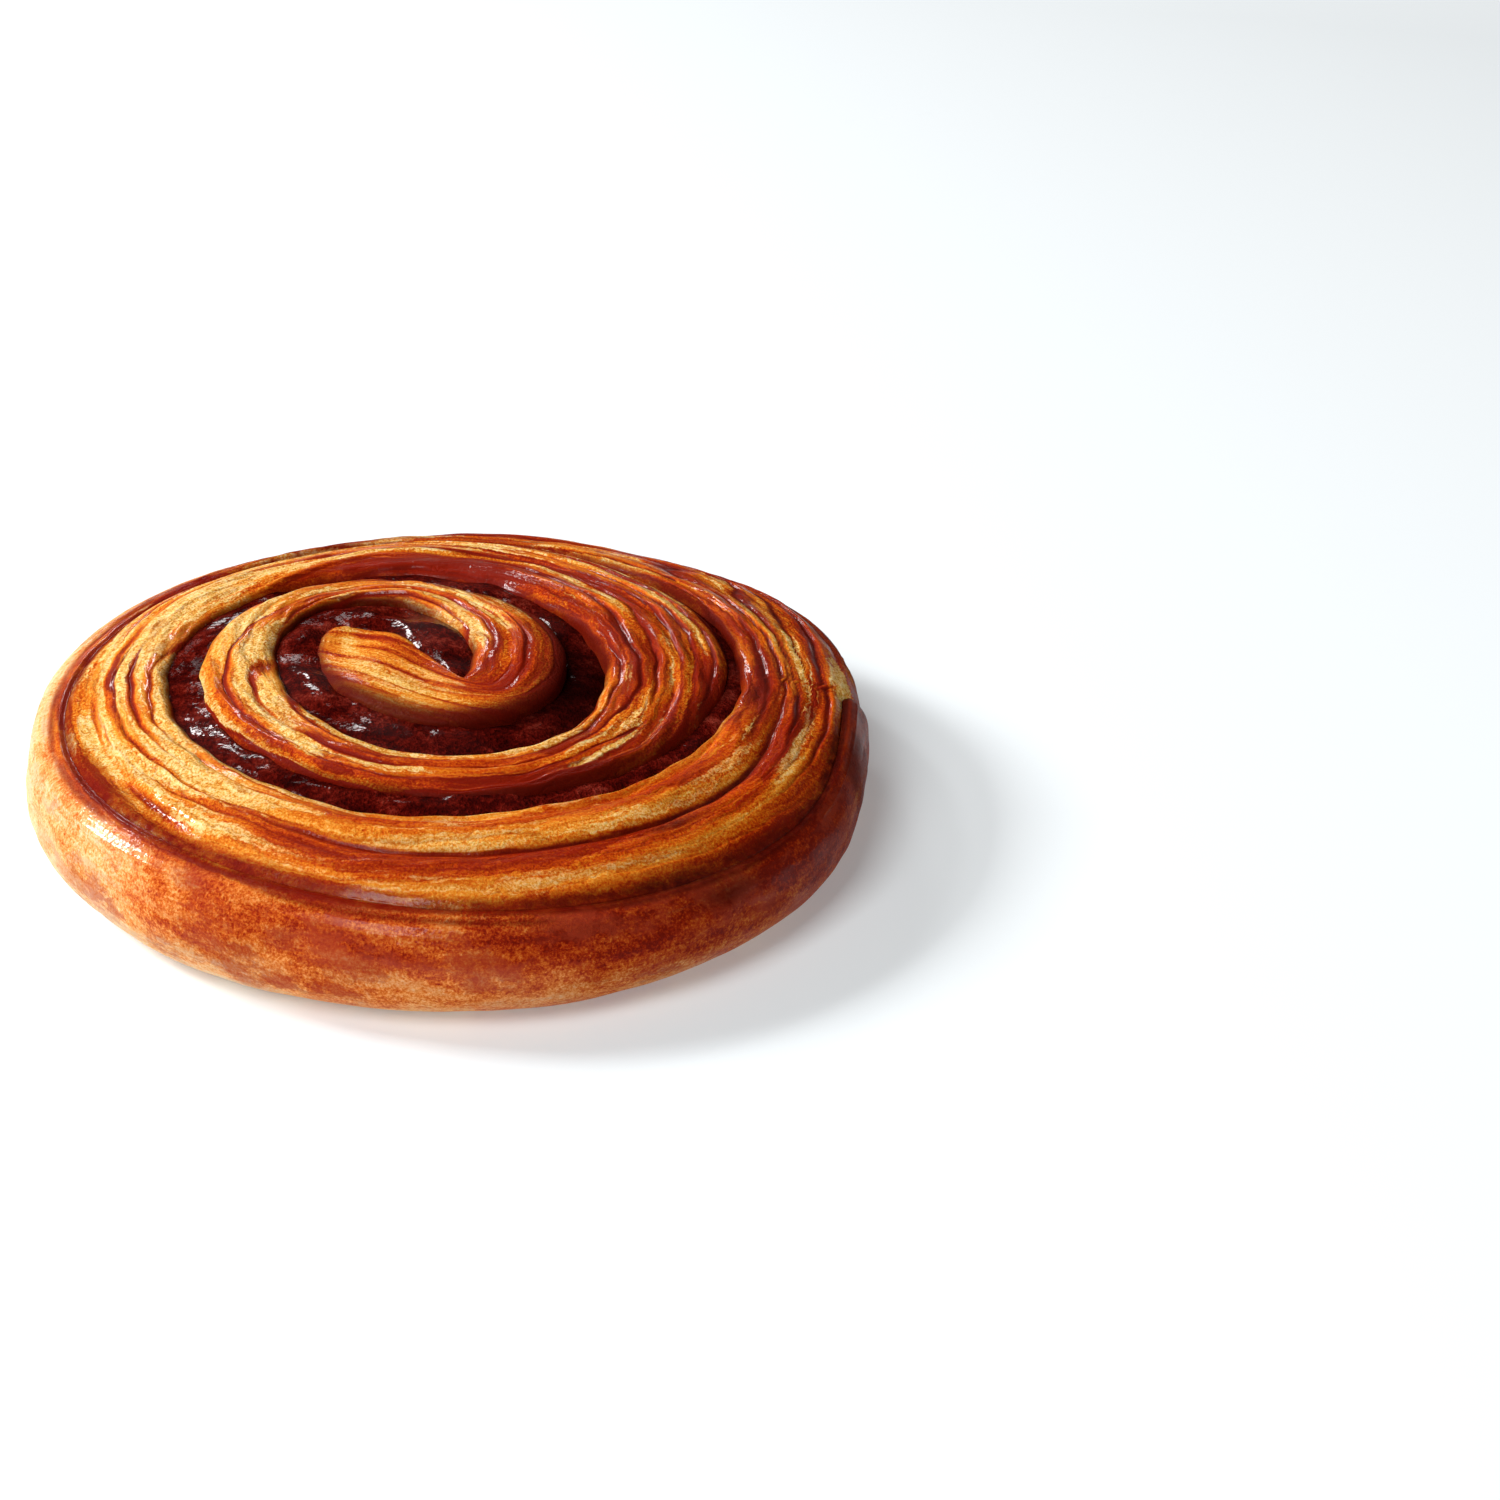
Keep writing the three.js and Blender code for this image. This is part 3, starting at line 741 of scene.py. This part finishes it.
crust.take(
    {
        "Base Color": skin_colour,
        "Roughness": crust.scaled(fluff_share, 0.45, 0.8),
        "Coat Weight": coat,
        "Coat Roughness": 0.12,
        "Specular IOR Level": 0.03,
        "Subsurface Weight": 0.3,
        "Subsurface Radius": (1.0, 0.35, 0.12),
        "Subsurface Scale": 0.0012,
        "Normal": crust.bump(fibre_height, 0.6, 0.0003),
        "Coat Normal": crust.bump(ripples, 0.5, 0.0001),
    }
)
dough.data.materials.append(crust.material)
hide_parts("dough")
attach(dough, "root")

# The filling: dark cinnamon sugar and butter spread on the strip before rolling. It has boiled and
# set into a sticky, grainy band that is broad round the tongue and thins to a seam near the wall.
bpy.ops.object.select_all(action="DESELECT")
filling_steps = 900
filling_points = 34
filling_ring = filling_points + 3
filling_foot = 0.4
hook_lead = 0.035
depth_turns = (0, 0.25, 0.5, 0.75, 1.0, 1.25, 1.5, 1.75, 2.0, 2.3, 3)
depths = (1.1, 1.1, 1.1, 1.3, 2.4, 1.3, 1.1, 1.2, 1.6, 2.4, 2.4)


def filling_way(turn):
    step = filling_edge(turn, 1, 1.0) - filling_edge(turn, 1, 0.0)
    return step / np.hypot(*step.T)[:, None]


fill_arc = np.linspace(-hook_lead, filling_turns - plan_step, 2000)
fill_length = np.concatenate([[0], np.cumsum((8 + 14 * fill_arc[1:]) * np.diff(fill_arc) * 2 * np.pi)])
fill_turns = np.interp(np.linspace(0, fill_length[-1], filling_steps + 1), fill_length, fill_arc)
fill_along = np.interp(fill_turns, fill_arc, fill_length)
fill_lap = np.interp(fill_turns, (0, 0.1, 2.0, 2.2), (0.4, 1.3, 1.3, 0.3))[:, None]
fill_in = filling_edge(fill_turns, -1, 0) - fill_lap * filling_way(fill_turns)
fill_out = filling_edge(fill_turns, 1, 0) + fill_lap * filling_way(fill_turns)
fill_share = np.linspace(0, 1, filling_points)[None, :] * np.ones((filling_steps + 1, 1))
fill_run = fill_along[:, None] * np.ones((1, filling_points))
fill_breadth = np.hypot(*(fill_out - fill_in).T)[:, None]
fill_across = fill_share * fill_breadth
lumps = 0.8 * swell(51, fill_run / 5.0, fill_across / 3.2)
lumps = lumps + 0.24 * swell(52, fill_run / 1.9, fill_across / 1.5)
lumps = lumps + 0.06 * swell(53, fill_run / 0.9, fill_across / 0.8)
fill_plan = fill_in[:, None, :] + (fill_out - fill_in)[:, None, :] * fill_share[:, :, None]
fill_depth = np.interp(fill_turns, depth_turns, depths)
fill_z = dome_height(fill_plan) + (lap_rise(fill_turns + 1) - fill_depth)[:, None]
fill_z = fill_z + 0.6 * np.sin(np.pi * fill_share) - 0.3 * (fill_share - 0.5)
fill_z = fill_z + smooth(0.5, 4.5, fill_breadth) * lumps
foot_in = foot_of(fill_in)[:, None, :]
foot_out = foot_of(fill_out)[:, None, :]
fill_plan_ring = np.concatenate([foot_in, fill_plan, foot_out, foot_in], 1)
fill_foot = np.full((filling_steps + 1, 1), filling_foot)
fill_ring_z = np.concatenate([fill_foot, fill_z, fill_foot, fill_foot], 1)
fill_points = np.concatenate([fill_plan_ring - roll_middle, fill_ring_z[:, :, None]], 2) * millimetre
bpy.ops.mesh.primitive_grid_add(x_subdivisions=filling_ring - 1, y_subdivisions=filling_steps, size=0.1)
filling = bpy.context.object
filling.name = "cinnamon_filling"
filling.data.vertices.foreach_set("co", fill_points.ravel())

# Wet places: the filling shines in a few spots, each given by its turn and its reach. In the pit at
# the right of the tongue it is painted darkest, as the shadow of the hook beside it.
wet_spots = ((0.14, 0.05), (0.2, 0.03), (0.58, 0.04), (0.72, 0.03), (0.02, 0.02), (1.6, 0.03))
wet_along = sum(hump(fill_turns, spot, reach) for spot, reach in wet_spots)[:, None]
pit_shadow_along = hump(fill_turns, 0.98, 0.11)[:, None]
paint_values(filling, "pit_shadow", np.broadcast_to(pit_shadow_along, (filling_steps + 1, filling_ring)))
paint_values(filling, "wet", np.broadcast_to(wet_along, (filling_steps + 1, filling_ring)))
close_tube()

sugar = Finish("cinnamon sugar")
sugar_place = sugar.object_place()
sugar_inputs = {"Place": sugar_place, "Scale": 2000.0}
sugar_grain = sugar.add("Group", {"node_tree": grain_group}, sugar_inputs).outputs
sugar_speckle = sugar_grain["Speckle"]
sugar_fuzz = sugar_grain["Fuzz"]
clots = sugar.noise(sugar_place, 260.0, 3.0, 0.6)
sugar_value = sugar.sway(clots, (sugar_speckle, 0.2), (sugar_fuzz, 0.16))
sugar_colour = sugar.ramp(
    sugar_value,
    (0.25, "#260303"),
    (0.45, "#440704"),
    (0.6, "#62120A"),
    (0.85, "#92382A"),
)
# Painted shadow: the filling turns near black in the pit at the right of the tongue.
in_pit_shadow = sugar.scaled(sugar.attribute("pit_shadow"), 0.0, 0.8)
damp = sugar.span(sugar.noise(sugar_place, 85.0, 2.0, 0.5), 0.45, 0.65, 0.03, 0.4)
sugar_height = sugar.sway(sugar_value, (sugar_speckle, 0.5), (sugar_fuzz, 0.5))
crystals = sugar.noise(sugar_place, 1500.0, 1.0, 0.5)
sugar.take(
    {
        "Base Color": sugar.mix(in_pit_shadow, sugar_colour, colour("#160202")),
        "Roughness": sugar.span(clots, 0.35, 0.65, 0.42, 0.22),
        "Coat Weight": sugar.larger(sugar.times(sugar.attribute("wet"), 0.8), damp),
        "Coat Roughness": 0.12,
        "Specular IOR Level": 0.0,
        "Normal": sugar.bump(sugar_height, 1.0, 0.0003),
        "Coat Normal": sugar.bump(crystals, 0.5, 0.00012),
    }
)
filling.data.materials.append(sugar.material)
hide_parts("filling")
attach(filling, "root")

# The floor: a plain white sweep that the roll lies on. It glows more with distance, so that it ends
# in white from every side.
bpy.ops.object.select_all(action="DESELECT")
bpy.ops.mesh.primitive_plane_add(size=40)
floor = bpy.context.object
floor.name = "floor"
paper = Finish("white floor")
floor_reach = paper.add("VectorMath", {"operation": "LENGTH"}, {0: paper.object_place()}).outputs["Value"]
paper.take(
    {
        "Base Color": (0.69, 0.735, 0.755, 1),
        "Emission Color": (1, 1, 1, 1),
        "Emission Strength": paper.span(floor_reach, 0.5, 1.6, 0.25, 1.0),
        "Roughness": 0.9,
        "Specular IOR Level": 0.0,
    }
)
floor.data.materials.append(paper.material)

# The light: a strong softbox at the left, a small one behind it for the gloss, a weak one at the back
# and a broad one above the front, each given by its place, its size and its watts. The room is white
# where the camera sees it and lights the roll only faintly.
softboxes = {
    "left softbox": ((-1.0, 0.26, 0.66), 0.3, 15.5),
    "gloss softbox": ((-0.8, 0.62, 0.88), 0.14, 2.0),
    "back softbox": ((-0.3, 1.0, 0.55), 0.16, 1.3),
    "top softbox": ((-0.4, -0.65, 0.9), 0.6, 9.6),
}
for name, (lamp_place, lamp_size, watts) in softboxes.items():
    bpy.ops.object.light_add(type="AREA", location=lamp_place)
    lamp = bpy.context.object
    lamp.name = name
    lamp.data.size = lamp_size
    lamp.data.energy = watts
    away = -lamp.location
    lamp.rotation_euler = away.to_track_quat("-Z", "Y").to_euler()
white = (1, 1, 1, 1)
room_light = bpy.data.worlds.new("white room")
bpy.context.scene.world = room_light
room_light.use_nodes = True
room_nodes = Nodes(room_light.node_tree)
faint_light = room_light.node_tree.nodes["Background"]
faint_light.inputs["Color"].default_value = white
faint_light.inputs["Strength"].default_value = 0.06
white_wall = room_nodes.add("Background", {}, {"Color": white, "Strength": 1.0}).outputs[0]
seen = room_nodes.add("LightPath", {}, {}).outputs["Is Camera Ray"]
room_mix = room_nodes.add("MixShader", {}, {0: seen, 1: faint_light.outputs[0], 2: white_wall}).outputs[0]
room_nodes.give(room_light.node_tree.nodes["World Output"].inputs["Surface"], room_mix)
bpy.context.scene.view_settings.view_transform = "Standard"

# The camera: a long lens from the front, looking down about 27 degrees, with the roll left of centre.
bpy.ops.object.camera_add(location=(0.03736, -0.29939, 0.1607), rotation=(math.radians(62.9), 0, 0))
camera = bpy.context.object
camera.data.lens = 64.3
camera.data.sensor_width = 36
camera.data.clip_start = 0.01
bpy.context.scene.camera = camera
